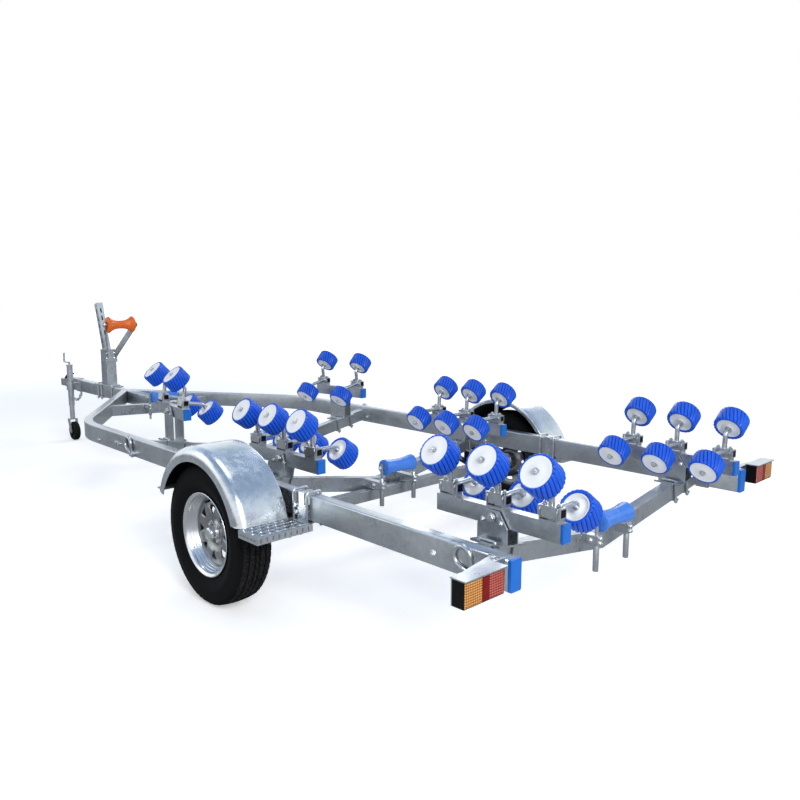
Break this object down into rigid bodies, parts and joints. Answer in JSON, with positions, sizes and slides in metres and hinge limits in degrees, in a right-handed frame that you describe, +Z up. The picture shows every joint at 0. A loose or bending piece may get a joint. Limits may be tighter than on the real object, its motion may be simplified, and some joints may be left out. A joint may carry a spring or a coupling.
{
  "type": "boat trailer",
  "caption": "Single-axle boat trailer with a V-shaped tube frame, rocking cradles of tilted wobble rollers, keel rollers, winch post, ball coupler and jockey wheel.",
  "frame": {"origin": "middle of the overall length and width, on the ground under the tyres", "axes": "+X forward, towards the coupler; +Y left; +Z up"},
  "size_m": [5.8659, 2.15, 1.1904],
  "materials": {
    "galvanised_steel": "hot-dip galvanised",
    "zinc_bolts": "bright zinc plated",
    "wheel_steel": "galvanised",
    "tyre_rubber": "matte",
    "jockey_rubber": "matte",
    "blue_roller": "satin polyurethane",
    "keel_roller_blue": "satin polyurethane",
    "orange_roller": "satin polyurethane",
    "blue_plastic": "satin",
    "black_plastic": "satin",
    "amber_lens": "gloss",
    "red_lens": "gloss"
  },
  "bodies": {
    "chassis": {"axle": "galvanised_steel", "bow_roller_bracket": "galvanised_steel", "coupler": "galvanised_steel", "coupler_latch": "black_plastic", "cradle_posts": "galvanised_steel", "cross_members": "galvanised_steel", "drawbar": "galvanised_steel", "jockey_clamp": "galvanised_steel", "jockey_tube": "galvanised_steel", "keel_brackets": "galvanised_steel", "lamp_brackets": "galvanised_steel", "lamp_housings": "black_plastic", "lamp_lenses_amber": "amber_lens", "lamp_lenses_red": "red_lens", "leaf_springs": "galvanised_steel", "mudguard_left": "galvanised_steel", "mudguard_right": "galvanised_steel", "mudguard_stays": "galvanised_steel", "post_clamps": "zinc_bolts", "rail_end_caps": "blue_plastic", "rail_left": "galvanised_steel", "rail_right": "galvanised_steel", "safety_chain": "zinc_bolts", "spring_hangers": "galvanised_steel", "step_plates": "galvanised_steel", "tie_down_loops": "galvanised_steel", "winch_post": "galvanised_steel"},
    "wheel_left": {"rim_left": "wheel_steel", "tyre_left": "tyre_rubber"},
    "wheel_right": {"rim_right": "wheel_steel", "tyre_right": "tyre_rubber"},
    "jockey_leg": {"jockey_leg": "galvanised_steel"},
    "jockey_fork": {"jockey_fork": "galvanised_steel"},
    "jockey_wheel": {"jockey_wheel": "jockey_rubber"},
    "bow_roller": {"bow_roller": "orange_roller"},
    "keel_roller_front": {"keel_roller_front": "keel_roller_blue"},
    "keel_roller_second": {"keel_roller_second": "keel_roller_blue"},
    "keel_roller_middle": {"keel_roller_middle": "keel_roller_blue"},
    "keel_roller_rear": {"keel_roller_rear": "keel_roller_blue"},
    "cradle_front_left": {"cradle_front_left": "galvanised_steel", "cradle_rollers_front_left": "blue_roller"},
    "cradle_front_right": {"cradle_front_right": "galvanised_steel", "cradle_rollers_front_right": "blue_roller"},
    "cradle_middle_left": {"cradle_middle_left": "galvanised_steel", "cradle_rollers_middle_left": "blue_roller"},
    "cradle_middle_right": {"cradle_middle_right": "galvanised_steel", "cradle_rollers_middle_right": "blue_roller"},
    "cradle_rear_left": {"cradle_rear_left": "galvanised_steel", "cradle_rollers_rear_left": "blue_roller"},
    "cradle_rear_right": {"cradle_rear_right": "galvanised_steel", "cradle_rollers_rear_right": "blue_roller"}
  },
  "joints": [
    {"name": "wheel_left_spin", "type": "hinge", "parent": "chassis", "child": "wheel_left", "pos_m": [-1.459, 0.9625, 0.298], "axis": [0, 1, 0], "continuous": true},
    {"name": "wheel_right_spin", "type": "hinge", "parent": "chassis", "child": "wheel_right", "pos_m": [-1.459, -0.9625, 0.298], "axis": [0, 1, 0], "continuous": true},
    {"name": "jockey_leg_slide", "type": "slide", "parent": "chassis", "child": "jockey_leg", "axis": [0, 0, 1], "range_m": [-0.05, 0.1]},
    {"name": "jockey_castor", "type": "hinge", "parent": "jockey_leg", "child": "jockey_fork", "pos_m": [2.491, 0.105, 0.2], "axis": [0, 0, 1], "continuous": true},
    {"name": "jockey_wheel_spin", "type": "hinge", "parent": "jockey_fork", "child": "jockey_wheel", "pos_m": [2.457, 0.105, 0.08], "axis": [0, 1, 0], "continuous": true},
    {"name": "bow_roller_spin", "type": "hinge", "parent": "chassis", "child": "bow_roller", "pos_m": [1.648, 0, 1.024], "axis": [0, 1, 0], "continuous": true},
    {"name": "keel_roller_front_spin", "type": "hinge", "parent": "chassis", "child": "keel_roller_front", "pos_m": [0.959, 0, 0.528], "axis": [0, 1, 0], "continuous": true},
    {"name": "keel_roller_second_spin", "type": "hinge", "parent": "chassis", "child": "keel_roller_second", "pos_m": [-0.421, 0, 0.434], "axis": [0, 1, 0], "continuous": true},
    {"name": "keel_roller_middle_spin", "type": "hinge", "parent": "chassis", "child": "keel_roller_middle", "pos_m": [-1.53, 0, 0.438], "axis": [0, 1, 0], "continuous": true},
    {"name": "keel_roller_rear_spin", "type": "hinge", "parent": "chassis", "child": "keel_roller_rear", "pos_m": [-2.721, 0, 0.439], "axis": [0, 1, 0], "continuous": true},
    {"name": "cradle_rear_left_rock", "type": "hinge", "parent": "chassis", "child": "cradle_rear_left", "pos_m": [-2.659, 0.615, 0.56], "axis": [0, 1, 0], "range_deg": [-9, 9]},
    {"name": "cradle_rear_right_rock", "type": "hinge", "parent": "chassis", "child": "cradle_rear_right", "pos_m": [-2.659, -0.615, 0.56], "axis": [0, 1, 0], "range_deg": [-9, 9]},
    {"name": "cradle_middle_left_rock", "type": "hinge", "parent": "chassis", "child": "cradle_middle_left", "pos_m": [-1.439, 0.608, 0.556], "axis": [0, 1, 0], "range_deg": [-9, 9]},
    {"name": "cradle_middle_right_rock", "type": "hinge", "parent": "chassis", "child": "cradle_middle_right", "pos_m": [-1.439, -0.608, 0.556], "axis": [0, 1, 0], "range_deg": [-9, 9]},
    {"name": "cradle_front_left_rock", "type": "hinge", "parent": "chassis", "child": "cradle_front_left", "pos_m": [-0.359, 0.588, 0.64], "axis": [0.1219, 0.9925, 0], "range_deg": [-10, 10]},
    {"name": "cradle_front_right_rock", "type": "hinge", "parent": "chassis", "child": "cradle_front_right", "pos_m": [-0.359, -0.588, 0.64], "axis": [-0.1219, 0.9925, 0], "range_deg": [-10, 10]}
  ]
}
